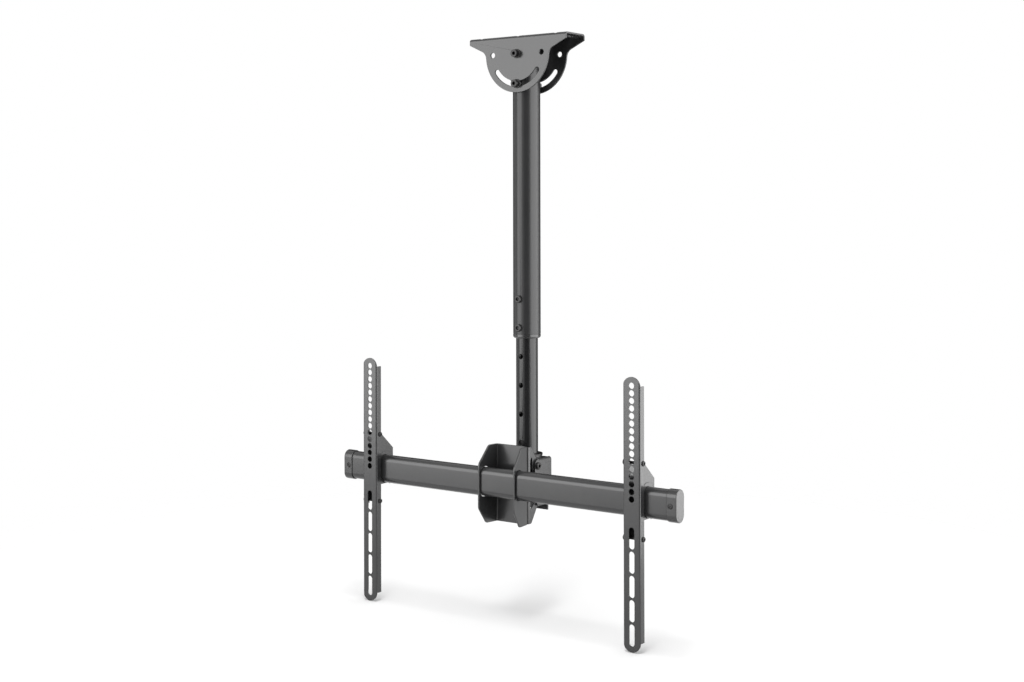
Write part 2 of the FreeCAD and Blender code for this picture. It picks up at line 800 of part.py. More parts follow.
# A television rail: a channel with a round-ended face, a row of holes above and slots below
def make_rail(middle):
    top = bar_z + rail_above_bar
    foot = bar_z - rail_below_bar
    half = rail_width / 2
    section = channel_corners(half, rail_front_y, rail_rear_y, rail_sheet, rail_bend)
    section = [(middle + across, up, radius) for across, up, radius in section]
    folded = prism(from_above, section, foot, top)
    face = rounded_block(from_front, middle - half, middle + half, foot, top, half,
                         rail_front_y, rail_front_y + rail_sheet)
    fold_y = rail_front_y + rail_sheet + rail_bend
    inset = rail_flange_inset - rail_bend
    flanges = block(from_front, middle - half, middle + half, foot + inset, top - inset,
                    rail_front_y, rail_rear_y)
    rail = folded.common(face.fuse(flanges))
    hole_z = top - rail_hole_start
    for index in range(rail_hole_count):
        rail = rail.cut(rod(from_front, middle, hole_z - index * rail_hole_pitch, rail_hole / 2,
                            rail_front_y, fold_y))
    for index in range(rail_slot_count):
        slot_top = top - rail_slot_start - index * rail_slot_pitch
        rail = rail.cut(rounded_block(from_front, middle - rail_hole / 2, middle + rail_hole / 2,
                                      slot_top - rail_slot_length, slot_top, rail_hole / 2,
                                      rail_front_y, fold_y))
    for up in rail_screw_heights():
        rail = rail.cut(rod(from_side, rail_screw_y, up, rail_screw / 2, middle - half, middle + half))
    return rail


def rail_screw_heights():
    return [bar_z + slider_upper_screw, bar_z - slider_lower_screw]


# The liner's outline is also the slider's opening
def liner_outline():
    front = bar_front_y - liner_clearance - liner_wall
    rear = bar_rear_y + liner_clearance + liner_wall
    foot = bar_z - bar_height / 2 - liner_clearance - liner_wall
    top = bar_z + bar_height / 2 + liner_clearance + liner_roof
    return front, rear, foot, top


# A slider: a folded channel that hooks over the crossbar, with a leg inside the rail
def make_slider(middle):
    front = rail_front_y + rail_sheet + rail_bend
    section = channel_corners(slider_half, slider_rear_y, front, rail_sheet, rail_bend)
    section = [(middle + across, up, radius) for across, up, radius in section]
    upper, lower = rail_screw_heights()
    top = upper + slider_screw_margin
    foot = lower - slider_screw_margin
    gap_front, gap_rear, gap_foot, gap_top = liner_outline()
    folded = prism(from_above, section, foot, top)
    leg_foot = gap_foot - slider_leg
    profile = [
        (front, top, 0),
        (rail_rear_y, top, slider_top_corner),
        (rail_rear_y + slider_crown, bar_z + slider_slope_top, 0),
        (slider_rear_y, bar_z + slider_slope_foot, slider_corner),
        (slider_rear_y, leg_foot, slider_corner),
        (gap_rear, leg_foot, 0),
        (gap_rear, gap_foot, 0),
        (gap_front, gap_foot, 0),
        (gap_front, foot, 0),
        (front, foot, 0),
    ]
    slider = folded.common(prism(from_side, profile, middle - slider_half, middle + slider_half))
    slider = slider.cut(liner_block(middle, slider_half))
    tongue = block(from_above, middle - slider_half, middle + slider_half, gap_front - rail_sheet,
                   gap_front, lower, gap_foot - slider_tongue_drop)
    slider = slider.fuse(tongue).removeSplitter()
    for up in (upper, lower):
        slider = slider.cut(rod(from_side, rail_screw_y, up, rail_screw / 2,
                                middle - slider_half, middle + slider_half))
    slider = slider.cut(rod(from_front, middle, bar_z, clamp_screw / 2,
                            slider_rear_y - rail_sheet, slider_rear_y))
    return slider


def liner_block(middle, half):
    front, rear, foot, top = liner_outline()
    corners = [
        (front, foot, liner_foot_corner),
        (rear, foot, liner_foot_corner),
        (rear, top, liner_corner),
        (front, top, liner_corner),
    ]
    return prism(from_side, corners, middle - half, middle + half)


# A moulded liner fills the slider's opening and glides on the crossbar
def make_liner(middle):
    half = slider_half + liner_proud
    liner = liner_block(middle, half)
    liner = liner.cut(oval(bar_depth / 2 + liner_clearance, bar_height / 2 + liner_clearance,
                           middle - half, middle + half))
    rear = liner_outline()[1]
    return liner.cut(rod(from_front, middle, bar_z, clamp_screw / 2 + screw_clearance, bar_rear_y, rear))


def make_rail_screws(middle):
    half = rail_width / 2
    return group([
        screw(from_side, rail_screw_y, up, rail_screw, middle + half, middle - half - rail_screw,
              button_head * rail_screw)
        for up in rail_screw_heights()
    ])


def make_rail_nuts(middle):
    half = rail_width / 2
    return group([
        nut(from_side, rail_screw_y, up, rail_screw, middle - half - nut_height * rail_screw, middle - half)
        for up in rail_screw_heights()
    ])


def make_clamp_screw(middle):
    return screw(from_front, middle, bar_z, clamp_screw, slider_rear_y, bar_rear_y + tip_clearance,
                 low_head * clamp_screw)


def make_clamp_nut(middle):
    seat = slider_rear_y - rail_sheet
    return nut(from_front, middle, bar_z, clamp_screw, seat - nut_height * clamp_screw, seat)


for word, side in (("left", -1), ("right", 1)):
    place = side * rail_offset
    nodes["end_cap_" + word] = make_end_cap(side)
    nodes["cap_screw_" + word] = make_cap_screw(side)
    nodes["tv_rail_" + word] = make_rail(place)
    nodes["slider_" + word] = make_slider(place)
    nodes["slider_liner_" + word] = make_liner(place)
    nodes["rail_screws_" + word] = make_rail_screws(place)
    nodes["rail_nuts_" + word] = make_rail_nuts(place)
    nodes["clamp_screw_" + word] = make_clamp_screw(place)
    nodes["clamp_nut_" + word] = make_clamp_nut(place)

os.makedirs("parts", exist_ok=True)
for name, shape in nodes.items():
    shape.exportStep(os.path.join("parts", name + ".step"))
    print(name, len(shape.Solids), shape.isValid(), round(shape.Volume))
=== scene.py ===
import json
import math

import bmesh
import bpy
from mathutils import Matrix, Vector


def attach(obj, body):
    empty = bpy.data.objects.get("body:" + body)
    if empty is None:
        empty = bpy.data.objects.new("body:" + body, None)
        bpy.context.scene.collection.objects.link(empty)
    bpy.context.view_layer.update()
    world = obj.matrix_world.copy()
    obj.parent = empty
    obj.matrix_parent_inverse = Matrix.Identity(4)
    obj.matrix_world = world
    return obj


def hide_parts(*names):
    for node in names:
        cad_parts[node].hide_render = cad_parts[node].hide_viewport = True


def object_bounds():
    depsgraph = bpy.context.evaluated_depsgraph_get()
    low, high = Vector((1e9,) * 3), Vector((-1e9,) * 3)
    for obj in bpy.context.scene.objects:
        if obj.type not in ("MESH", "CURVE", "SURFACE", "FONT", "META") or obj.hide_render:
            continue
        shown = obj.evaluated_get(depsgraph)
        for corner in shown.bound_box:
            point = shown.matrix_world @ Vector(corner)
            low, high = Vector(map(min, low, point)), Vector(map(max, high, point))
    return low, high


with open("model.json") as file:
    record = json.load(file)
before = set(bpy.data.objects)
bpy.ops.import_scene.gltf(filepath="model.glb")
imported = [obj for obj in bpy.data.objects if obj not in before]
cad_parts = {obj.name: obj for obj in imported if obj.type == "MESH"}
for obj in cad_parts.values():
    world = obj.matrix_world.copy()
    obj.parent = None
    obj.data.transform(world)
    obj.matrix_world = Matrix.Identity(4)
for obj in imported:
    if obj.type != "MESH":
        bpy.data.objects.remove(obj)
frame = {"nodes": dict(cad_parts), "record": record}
cadLow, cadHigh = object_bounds()
nodes = frame["nodes"]
bodies = frame["record"]["behaviour"]["bodies"]
bodyOfNode = {name: body for body, names in bodies.items() for name in names}
print("frame loaded:", len(nodes), "nodes")


def addObject(name, data):
    thing = bpy.data.objects.new(name, data)
    bpy.context.scene.collection.objects.link(thing)
    return thing


# camera, fitted to the photograph in pixels of a 1024 x 682 picture
photoCamera = {
    "place": (1.5337, -2.1353, -0.3120),
    "turn": 36.25,      # degrees round Z from looking along +Y
    "lift": 0.21,       # degrees above level
    "roll": -0.10,
    "focalPixels": 1504.6,
    "picture": (1024, 682),
    "axisRow": 210.03,  # the row where the optical axis falls
    "sensor": 36.0,
    "clip": (0.05, 60.0),
}


def makeCamera(view):
    data = bpy.data.cameras.new("photoCamera")
    width, height = view["picture"]
    data.sensor_width = view["sensor"]
    data.lens = view["focalPixels"] * view["sensor"] / width
    data.shift_y = (view["axisRow"] - height / 2) / width
    data.clip_start, data.clip_end = view["clip"]
    camera = addObject("photoCamera", data)
    turn, lift, roll = (math.radians(view[key]) for key in ("turn", "lift", "roll"))
    level = Matrix.Rotation(math.pi / 2 + lift, 4, "X")
    aim = Matrix.Rotation(turn, 4, "Z") @ level @ Matrix.Rotation(roll, 4, "Z")
    camera.matrix_world = Matrix.Translation(view["place"]) @ aim
    bpy.context.scene.camera = camera


makeCamera(photoCamera)


# shader helpers
def newNode(tree, kind, place, **settings):
    node = tree.nodes.new(kind)
    node.location = place
    for key, value in settings.items():
        setattr(node, key, value)
    return node


def setInputs(node, values):
    for socket, value in values.items():
        node.inputs[socket].default_value = value


# fine grain, a slow drift and dust specks, shared by every finish on the mount
grainLook = {
    "grain": {"Detail": 3.0, "Roughness": 0.55},
    "drift": {"Detail": 4.0, "Roughness": 0.6},
    "specks": {"Scale": 60.0},
    "speckSize": {"From Min": 0.02, "From Max": 0.09, "To Min": 1.0, "To Max": 0.0},
    "glossDrift": {"From Min": 0.3, "From Max": 0.7},
    "dust": (0.16, 0.16, 0.155, 1),
    "bumpStrength": 0.5,
}


def makeFinishGroup():
    group = bpy.data.node_groups.new("finishGrain", "ShaderNodeTree")
    for name in ("Grain Size", "Drift Size"):
        group.interface.new_socket(name=name, in_out="INPUT", socket_type="NodeSocketFloat")
    for name in ("Grain", "Drift", "Specks"):
        group.interface.new_socket(name=name, in_out="OUTPUT", socket_type="NodeSocketFloat")
    takes = newNode(group, "NodeGroupInput", (-800, 0))
    gives = newNode(group, "NodeGroupOutput", (500, 0))
    where = newNode(group, "ShaderNodeTexCoord", (-800, -300))
    grain = newNode(group, "ShaderNodeTexNoise", (-400, 200))
    drift = newNode(group, "ShaderNodeTexNoise", (-400, -50))
    specks = newNode(group, "ShaderNodeTexVoronoi", (-400, -300), feature="F1")
    near = newNode(group, "ShaderNodeMapRange", (-100, -300))
    setInputs(grain, grainLook["grain"])
    setInputs(drift, grainLook["drift"])
    setInputs(specks, grainLook["specks"])
    setInputs(near, grainLook["speckSize"])
    link = group.links.new
    for texture in (grain, drift, specks):
        link(where.outputs["Object"], texture.inputs["Vector"])
    link(takes.outputs["Grain Size"], grain.inputs["Scale"])
    link(takes.outputs["Drift Size"], drift.inputs["Scale"])
    link(specks.outputs["Distance"], near.inputs["Value"])
    link(grain.outputs["Fac"], gives.inputs["Grain"])
    link(drift.outputs["Fac"], gives.inputs["Drift"])
    link(near.outputs["Result"], gives.inputs["Specks"])
    return group


finishGroup = makeFinishGroup()

# gloss is the roughness from low to high, and grain and drift are patterns per metre
finishes = {
    "black_powder_coat": {
        "dark": (0.0190, 0.0191, 0.0196, 1), "light": (0.0245, 0.0246, 0.0252, 1), "speck": 0.06,
        "gloss": (0.20, 0.25), "metallic": 0.0, "shine": 0.6,
        "grain": 850.0, "drift": 11.0, "bump": 0.00005,
    },
    "pole_coat": {
        "dark": (0.0180, 0.0181, 0.0186, 1), "light": (0.0225, 0.0226, 0.0232, 1), "speck": 0.03,
        "gloss": (0.28, 0.32), "metallic": 0.0, "shine": 0.40,
        "grain": 1000.0, "drift": 8.0, "bump": 0.00003,
    },
    "drop_tube_coat": {
        "dark": (0.0085, 0.0086, 0.0090, 1), "light": (0.0110, 0.0111, 0.0115, 1), "speck": 0.02,
        "gloss": (0.21, 0.25), "metallic": 0.0, "shine": 0.42,
        "grain": 1200.0, "drift": 9.0, "bump": 0.00002,
    },
    "black_plastic": {
        "dark": (0.020, 0.020, 0.0204, 1), "light": (0.026, 0.026, 0.0265, 1), "speck": 0.04,
        "gloss": (0.20, 0.26), "metallic": 0.0, "shine": 0.6,
        "grain": 1500.0, "drift": 20.0, "bump": 0.00003,
    },
    "blackened_steel": {
        "dark": (0.018, 0.018, 0.019, 1), "light": (0.032, 0.031, 0.030, 1), "speck": 0.10,
        "gloss": (0.24, 0.38), "metallic": 0.6, "shine": 0.5,
        "grain": 2400.0, "drift": 90.0, "bump": 0.00001,
    },
}
ownCoat = {"outer_pole": "pole_coat", "inner_tube": "drop_tube_coat"}


def makeFinish(name, look):
    material = bpy.data.materials.new(name + "_finish")
    material.use_nodes = True
    tree = material.node_tree
    shader = tree.nodes["Principled BSDF"]
    group = newNode(tree, "ShaderNodeGroup", (-900, 0), node_tree=finishGroup)
    tint = newNode(tree, "ShaderNodeMix", (-500, 200), data_type="RGBA")
    speck = newNode(tree, "ShaderNodeMath", (-700, 60), operation="MULTIPLY")
    dusty = newNode(tree, "ShaderNodeMix", (-250, 200), data_type="RGBA")
    rough = newNode(tree, "ShaderNodeMapRange", (-500, -60))
    bump = newNode(tree, "ShaderNodeBump", (-250, -250))
    setInputs(shader, {"Metallic": look["metallic"], "Specular IOR Level": look["shine"]})
    setInputs(group, {"Grain Size": look["grain"], "Drift Size": look["drift"]})
    setInputs(tint, {"A": look["dark"], "B": look["light"]})
    setInputs(speck, {1: look["speck"]})
    setInputs(dusty, {"B": grainLook["dust"]})
    setInputs(rough, grainLook["glossDrift"])
    setInputs(rough, {"To Min": look["gloss"][0], "To Max": look["gloss"][1]})
    setInputs(bump, {"Strength": grainLook["bumpStrength"], "Distance": look["bump"]})
    link = tree.links.new
    link(group.outputs["Drift"], tint.inputs["Factor"])
    link(group.outputs["Specks"], speck.inputs[0])
    link(speck.outputs[0], dusty.inputs["Factor"])
    link(tint.outputs["Result"], dusty.inputs["A"])
    link(dusty.outputs["Result"], shader.inputs["Base Color"])
    link(group.outputs["Drift"], rough.inputs["Value"])
    link(rough.outputs["Result"], shader.inputs["Roughness"])
    link(group.outputs["Grain"], bump.inputs["Height"])
    link(bump.outputs["Normal"], shader.inputs["Normal"])
    return material


finishOf = {name: makeFinish(name, look) for name, look in finishes.items()}
slotOfNode = {part["node"]: part["material_slot"] for part in frame["record"]["subparts"]}
finishOfNode = {name: finishOf[ownCoat.get(name, slot)] for name, slot in slotOfNode.items()}
for name, node in nodes.items():
    for holder in node.material_slots:
        holder.material = finishOfNode[name]
print("finishes made:", ", ".join(finishOf))


# a piece that stands for a CAD node, on the node's own body
def settle(piece, node):
    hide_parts(node)
    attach(piece, bodyOfNode[node])


def applyModifiers(piece):
    graph = bpy.context.evaluated_depsgraph_get()
    done = bpy.data.meshes.new_from_object(piece.evaluated_get(graph))
    piece.modifiers.clear()
    piece.data = done


mergeWithin = 1e-6  # metres


def mergedCopy(node):
    mesh = bmesh.new()
    mesh.from_mesh(nodes[node].data)
    bmesh.ops.remove_doubles(mesh, verts=mesh.verts, dist=mergeWithin)
    return mesh


def solidBoxes(node):
    # the box of each separate solid in a node
    mesh = mergedCopy(node)
    boxes, seen = [], set()
    for start in mesh.verts:
        if start in seen:
            continue
        island, waiting = [], [start]
        seen.add(start)
        while waiting:
            here = waiting.pop()
            island.append(here.co.copy())
            for edge in here.link_edges:
                there = edge.other_vert(here)
                if there not in seen:
                    seen.add(there)
                    waiting.append(there)
        low = Vector([min(co[i] for co in island) for i in range(3)])
        high = Vector([max(co[i] for co in island) for i in range(3)])
        boxes.append((low, high))
    mesh.free()
    return boxes


# sheet metal and mouldings get soft edges, as the coat has in the photograph
softEdges = {
    "ceiling_plate": 0.00045, "swivel_yoke": 0.0005, "tilt_bracket": 0.0005, "crossbar_cradle": 0.0006,
    "tv_rail_left": 0.0004, "tv_rail_right": 0.0004, "slider_left": 0.0004, "slider_right": 0.0004,
    "outer_pole": 0.0004, "inner_tube": 0.0004, "tube_foot": 0.0005, "pole_collar": 0.00015,
    "end_cap_left": 0.0010, "end_cap_right": 0.0010,
    "slider_liner_left": 0.0004, "slider_liner_right": 0.0004,
    "guide_bush": 0.0003, "swivel_washer": 0.0003, "crossbar": 0.0003, "cross_sleeves": 0.0003,
    "crossbar_spacers": 0.0003,
}
# these have folds too tight for a full soft edge, so the edge gives way to them
tightFolds = {"swivel_yoke", "tv_rail_left", "tv_rail_right", "slider_left", "slider_right"}
# degrees between faces, faces across an edge, and how far the large faces rule the shading
edgeForm = {"flatUnder": 0.4, "sharpOver": 35, "steps": 2, "faceWeight": 100}


def softenEdges(node, width):
    mesh = mergedCopy(node)
    bmesh.ops.dissolve_limit(mesh, angle_limit=math.radians(edgeForm["flatUnder"]), verts=mesh.verts,
                             edges=mesh.edges, delimit={"NORMAL"})
    data = bpy.data.meshes.new(node + "_soft")
    mesh.to_mesh(data)
    mesh.free()
    data.shade_smooth()
    data.materials.append(finishOfNode[node])
    piece = addObject(node + "_soft", data)
    bevel = piece.modifiers.new("softEdge", "BEVEL")
    bevel.width = width
    bevel.segments = edgeForm["steps"]
    bevel.limit_method = "ANGLE"
    bevel.angle_limit = math.radians(edgeForm["sharpOver"])
    bevel.use_clamp_overlap = node in tightFolds
    bevel.miter_outer = "MITER_ARC"
    flatten = piece.modifiers.new("flatFaces", "WEIGHTED_NORMAL")
    flatten.weight = edgeForm["faceWeight"]
    flatten.keep_sharp = True
    applyModifiers(piece)
    settle(piece, node)


for node, width in softEdges.items():
    softenEdges(node, width)
print("soft edges on", len(softEdges), "pieces")


# one ring of a turned profile; flats make it a hexagon, and a ridged ring is knurled
def ring(radius, height, flats=None, ridged=False):
    return radius, height, flats, ridged


sixth = math.pi / 3  # the turn from one side of a hexagon to the next


# screws, nuts and washers are turned from their profile's rings
def turned(rings, segments=48, knurl=0.0):
    mesh = bmesh.new()
    rows = []
    for radius, height, flats, ridged in rings:
        if radius == 0:
            rows.append([mesh.verts.new((0, 0, height))])
            continue
        row = []
        for step in range(segments):
            angle = 2 * math.pi * step / segments
            reach = radius
            if flats:
                away = (angle + sixth / 2) % sixth - sixth / 2
                reach = min(radius, flats / 2 / math.cos(away))
            if ridged and step % 2:
                reach -= knurl
            row.append(mesh.verts.new((reach * math.cos(angle), reach * math.sin(angle), height)))
        rows.append(row)
    for low, high in zip(rows, rows[1:]):
        for step in range(segments):
            after = (step + 1) % segments
            if len(low) == 1:
                mesh.faces.new((low[0], high[after], high[step]))
            elif len(high) == 1:
                mesh.faces.new((low[step], low[after], high[0]))
            else:
                mesh.faces.new((low[step], low[after], high[after], high[step]))
    if len(rows[0]) > 1:  # a ring with a bore closes on itself
        first, last = rows[0], rows[-1]
        for step in range(segments):
            after = (step + 1) % segments
            mesh.faces.new((last[step], last[after], first[after], first[step]))
    bmesh.ops.recalc_face_normals(mesh, faces=mesh.faces)
    return mesh


def partObject(name, mesh, smoothAngle):
    data = bpy.data.meshes.new(name)
    mesh.to_mesh(data)
    mesh.free()
    data.shade_smooth()
    data.set_sharp_from_angle(angle=math.radians(smoothAngle))
    return bpy.data.objects.new(name, data)


# socket screws: shares of the thread's size or the head's height, and lengths in metres
screwForm = {
    "head": 0.75, "headExtra": 0.0005,      # the head's radius, by the thread's size
    "socket": 0.7, "socketMouth": 0.62,     # across flats by the size, and the mouth by the flats
    "socketDepth": 0.6, "socketTip": 0.0004, "mouthDepth": 0.0003,
    "rim": 0.0006, "rimShare": 0.2,
    "threadDepth": 0.45, "tipDepth": 0.5,   # by the pitch
    "knurl": 0.00012, "smoothAngle": 35,
    "domeTop": 0.72, "domeDip": 0.0001, "domeFoot": 0.25,
    "domeBends": ((0.86, 0.16), (0.96, 0.45)),  # by the head's radius, and down from the top by its height
    "capBend": 0.3, "capFoot": 0.6,             # by the rim
}


def domeRings(head, height):
    bends = [ring(head * out, height - height * down) for out, down in screwForm["domeBends"]]
    top = ring(head * screwForm["domeTop"], height - screwForm["domeDip"])
    return [top, *bends, ring(head, height * screwForm["domeFoot"])]


def capRings(head, height, rim):
    bend = rim * screwForm["capBend"]
    return [
        ring(head - rim, height), ring(head - bend, height - bend),
        ring(head, height - rim, ridged=True), ring(head, rim * screwForm["capFoot"], ridged=True),
    ]


def screwPart(name, look, shankLength):
    # the seat is at height 0, the head above it and the shank below
    size, top, pitch = look["size"], look["tall"], pitchOfSize[look["size"]]
    head = screwForm["head"] * size + screwForm["headExtra"]
    flats = screwForm["socket"] * size
    rim = min(screwForm["rim"], top * screwForm["rimShare"])
    depth = top * screwForm["socketDepth"]
    rings = [
        ring(0, top - depth - screwForm["socketTip"]), ring(flats, top - depth, flats),
        ring(flats, top - screwForm["mouthDepth"], flats), ring(flats * screwForm["socketMouth"], top),
    ]
    rings += domeRings(head, top) if look.get("dome") else capRings(head, top, rim)
    rings += [ring(head - rim * 0.5, 0), ring(size / 2, 0)]
    threaded = min(look["threaded"], shankLength - pitch)
    turns = int(threaded / pitch)
    start = -shankLength + pitch * (turns + 0.5)
    rings.append(ring(size / 2, start))
    for turn in range(turns):
        rings.append(ring(size / 2 - pitch * screwForm["threadDepth"], start - pitch * (turn + 0.5)))
        rings.append(ring(size / 2, start - pitch * (turn + 1)))
    rings += [ring(size / 2 - pitch * screwForm["tipDepth"], -shankLength), ring(0, -shankLength)]
    return partObject(name, turned(rings, knurl=screwForm["knurl"]), screwForm["smoothAngle"])


# across flats by the thread's size; the chamfers in shares of the corner and the height
nutForm = {"flats": 1.62, "corner": 0.25, "rise": 0.1, "mouth": 0.0004, "mouthRise": 0.8, "smoothAngle": 25}


def nutPart(name, size, height):
    bore = size / 2
    flats = nutForm["flats"] * size
    corner = flats / math.sqrt(3)
    chamfer = flats * 0.5 + (corner - flats * 0.5) * nutForm["corner"]
    rise = height * nutForm["rise"]
    mouth, inside = bore + nutForm["mouth"], rise * nutForm["mouthRise"]
    rings = [
        ring(bore, inside), ring(mouth, 0), ring(chamfer, 0, flats), ring(corner, rise, flats),
        ring(corner, height - rise, flats), ring(chamfer, height, flats), ring(mouth, height),
        ring(bore, height - inside),
    ]
    return partObject(name, turned(rings), nutForm["smoothAngle"])


washerForm = {"edge": 0.0002, "edgeShare": 0.25, "segments": 64, "smoothAngle": 60}


def washerPart(name, outer, bore, height):
    edge = min(washerForm["edge"], height * washerForm["edgeShare"])
    rings = [
        ring(bore, edge), ring(bore + edge, 0), ring(outer - edge, 0), ring(outer, edge),
        ring(outer, height - edge), ring(outer - edge, height), ring(bore + edge, height),
        ring(bore, height - edge),
    ]
    return partObject(name, turned(rings, washerForm["segments"]), washerForm["smoothAngle"])


def makePlacingTree():
    # copies of one part at the points of a mesh, each aimed by its point and turned by the seed
    tree = bpy.data.node_groups.new("placeFasteners", "GeometryNodeTree")
    tree.is_modifier = True
    sockets = {
        "Seats": "Geometry", "Part": "Object", "Finish": "Material", "Turn Spread": "Float", "Seed": "Int",
    }
    for name, kind in sockets.items():
        tree.interface.new_socket(name=name, in_out="INPUT", socket_type="NodeSocket" + kind)
    tree.interface.new_socket(name="Fasteners", in_out="OUTPUT", socket_type="NodeSocketGeometry")
    takes = newNode(tree, "NodeGroupInput", (-900, 0))
    gives = newNode(tree, "NodeGroupOutput", (900, 0))
    aim = newNode(tree, "GeometryNodeInputNamedAttribute", (-700, -200), data_type="FLOAT_VECTOR")
    aim.inputs["Name"].default_value = "aim"
    align = newNode(tree, "FunctionNodeAlignRotationToVector", (-450, -200), axis="Z")
    turn = newNode(tree, "FunctionNodeRandomValue", (-450, -420), data_type="FLOAT")
    spin = newNode(tree, "ShaderNodeCombineXYZ", (-250, -420))
    about = newNode(tree, "FunctionNodeEulerToRotation", (-60, -420))
    rotate = newNode(tree, "FunctionNodeRotateRotation", (120, -250), rotation_space="LOCAL")
    part = newNode(tree, "GeometryNodeObjectInfo", (-450, 200), transform_space="ORIGINAL")
    place = newNode(tree, "GeometryNodeInstanceOnPoints", (200, 50))
    real = newNode(tree, "GeometryNodeRealizeInstances", (400, 50))
    paint = newNode(tree, "GeometryNodeSetMaterial", (620, 50))
    link = tree.links.new
    link(takes.outputs["Seats"], place.inputs["Points"])
    link(takes.outputs["Part"], part.inputs["Object"])
    link(part.outputs["Geometry"], place.inputs["Instance"])
    link(aim.outputs["Attribute"], align.inputs["Vector"])
    link(takes.outputs["Turn Spread"], turn.inputs["Max"])
    link(takes.outputs["Seed"], turn.inputs["Seed"])
    link(turn.outputs["Value"], spin.inputs["Z"])
    link(spin.outputs["Vector"], about.inputs["Euler"])
    link(align.outputs["Rotation"], rotate.inputs["Rotation"])
    link(about.outputs["Rotation"], rotate.inputs["Rotate By"])
    link(rotate.outputs["Rotation"], place.inputs["Rotation"])
    link(place.outputs["Instances"], real.inputs["Geometry"])
    link(real.outputs["Geometry"], paint.inputs["Geometry"])
    link(takes.outputs["Finish"], paint.inputs["Material"])
    link(paint.outputs["Geometry"], gives.inputs["Fasteners"])
    return tree


placingTree = makePlacingTree()


def placeParts(node, part, seats, spread, seed):
    # seats is a list of (point, aim); the result is one plain mesh that rides with its body
    name = node + "_turned"
    data = bpy.data.meshes.new(name)
    data.from_pydata([point for point, aim in seats], [], [])
    aims = data.attributes.new("aim", "FLOAT_VECTOR", "POINT")
    for index, (point, aim) in enumerate(seats):
        aims.data[index].vector = aim
    piece = addObject(name, data)
    modifier = piece.modifiers.new("placeFasteners", "NODES")
    modifier.node_group = placingTree
    values = {"Part": part, "Finish": finishOfNode[node], "Turn Spread": spread, "Seed": seed}
    for item in placingTree.interface.items_tree:
        if item.item_type == "SOCKET" and item.in_out == "INPUT" and item.name in values:
            modifier[item.identifier] = values[item.name]
    applyModifiers(piece)
    settle(piece, node)


# the directions that heads and nuts look in
toFront, toRear, toRight, toLeft = (0, -1, 0), (0, 1, 0), (1, 0, 0), (-1, 0, 0)
up, down, outwards = (0, 0, 1), (0, 0, -1), "away from the middle, along X"
pitchOfSize = {0.004: 0.0007, 0.005: 0.0008, 0.006: 0.001, 0.008: 0.00125, 0.012: 0.00175}
screwSets = {
    "lean_pivot_screw": {"head": toFront, "size": 0.008, "threaded": 0.014, "tall": 0.008},
    "lean_lock_screw": {"head": toFront, "size": 0.008, "threaded": 0.014, "tall": 0.008},
    "height_screws": {"head": toFront, "size": 0.008, "threaded": 0.0035, "tall": 0.0052},
    "swivel_screw": {"head": down, "size": 0.012, "threaded": 0.016, "tall": 0.0078},
    "tilt_pivot_screws": {"head": outwards, "size": 0.008, "threaded": 0.008, "tall": 0.004, "dome": True},
    "tilt_lock_screws": {"head": outwards, "size": 0.008, "threaded": 0.008, "tall": 0.0052},
    "crossbar_screws": {"head": toRear, "size": 0.008, "threaded": 0.009, "tall": 0.0052},
    "cap_screw_left": {"head": toFront, "size": 0.004, "threaded": 0.003, "tall": 0.0009},
    "cap_screw_right": {"head": toFront, "size": 0.004, "threaded": 0.003, "tall": 0.0009},
    "rail_screws_left": {"head": toRight, "size": 0.005, "threaded": 0.009, "tall": 0.0025, "dome": True},
    "rail_screws_right": {"head": toRight, "size": 0.005, "threaded": 0.009, "tall": 0.0025, "dome": True},
    "clamp_screw_left": {"head": toRear, "size": 0.006, "threaded": 0.009, "tall": 0.0039},
    "clamp_screw_right": {"head": toRear, "size": 0.006, "threaded": 0.009, "tall": 0.0039},
}


def makeScrews(node, look, seed):
    seats = []
    for low, high in solidBoxes(node):
        middle = (low + high) / 2
        aim = Vector((math.copysign(1, middle.x), 0, 0) if look["head"] is outwards else look["head"])
        axis = [abs(value) for value in aim].index(1)
        length = high[axis] - low[axis]
        top = Vector(middle)
        top[axis] = high[axis] if aim[axis] > 0 else low[axis]
        seats.append((top - aim * look["tall"], aim))
    part = screwPart(node + "_part", look, length - look["tall"])
    placeParts(node, part, seats, sixth, seed)


for index, (node, look) in enumerate(screwSets.items()):
    makeScrews(node, look, index)

nutSets = {
    "lean_pivot_nut": {"aim": toRear, "size": 0.008},
    "lean_lock_nut": {"aim": toRear, "size": 0.008},
    "tilt_pivot_nuts": {"aim": toRight, "size": 0.008},
    "tilt_lock_nuts": {"aim": toRight, "size": 0.008},
    "crossbar_nuts": {"aim": toRear, "size": 0.008},
    "rail_nuts_left": {"aim": toLeft, "size": 0.005},
    "rail_nuts_right": {"aim": toLeft, "size": 0.005},
    "clamp_nut_left": {"aim": toRear, "size": 0.006},
    "clamp_nut_right": {"aim": toRear, "size": 0.006},
}
washerSets = {
    "lean_pivot_washers": {"aim": toRear, "bore": 0.004},
    "lean_lock_washers": {"aim": toRear, "bore": 0.004},
    "swivel_under_washer": {"aim": up, "bore": 0.0061},
    "tilt_washers": {"aim": toRight, "bore": 0.0041},
}


# nuts and washers, which start at one face of their solid
def makeRounds(node, look, seed):
    seats = []
    aim = Vector(look["aim"])
    axis = [abs(value) for value in aim].index(1)
    for low, high in solidBoxes(node):
        thick = high[axis] - low[axis]
        wide = max(high[i] - low[i] for i in range(3) if i != axis)
        start = (low + high) / 2
        start[axis] = low[axis] if aim[axis] > 0 else high[axis]
        seats.append((start, aim))
    if node in nutSets:
        part = nutPart(node + "_part", look["size"], thick)
    else:
        part = washerPart(node + "_part", wide / 2, look["bore"], thick)
    placeParts(node, part, seats, 0.0, seed)


for rounds in (nutSets, washerSets):
    for index, (node, look) in enumerate(rounds.items()):
        makeRounds(node, look, index)
print("fasteners placed:", len(screwSets) + len(nutSets) + len(washerSets), "sets")

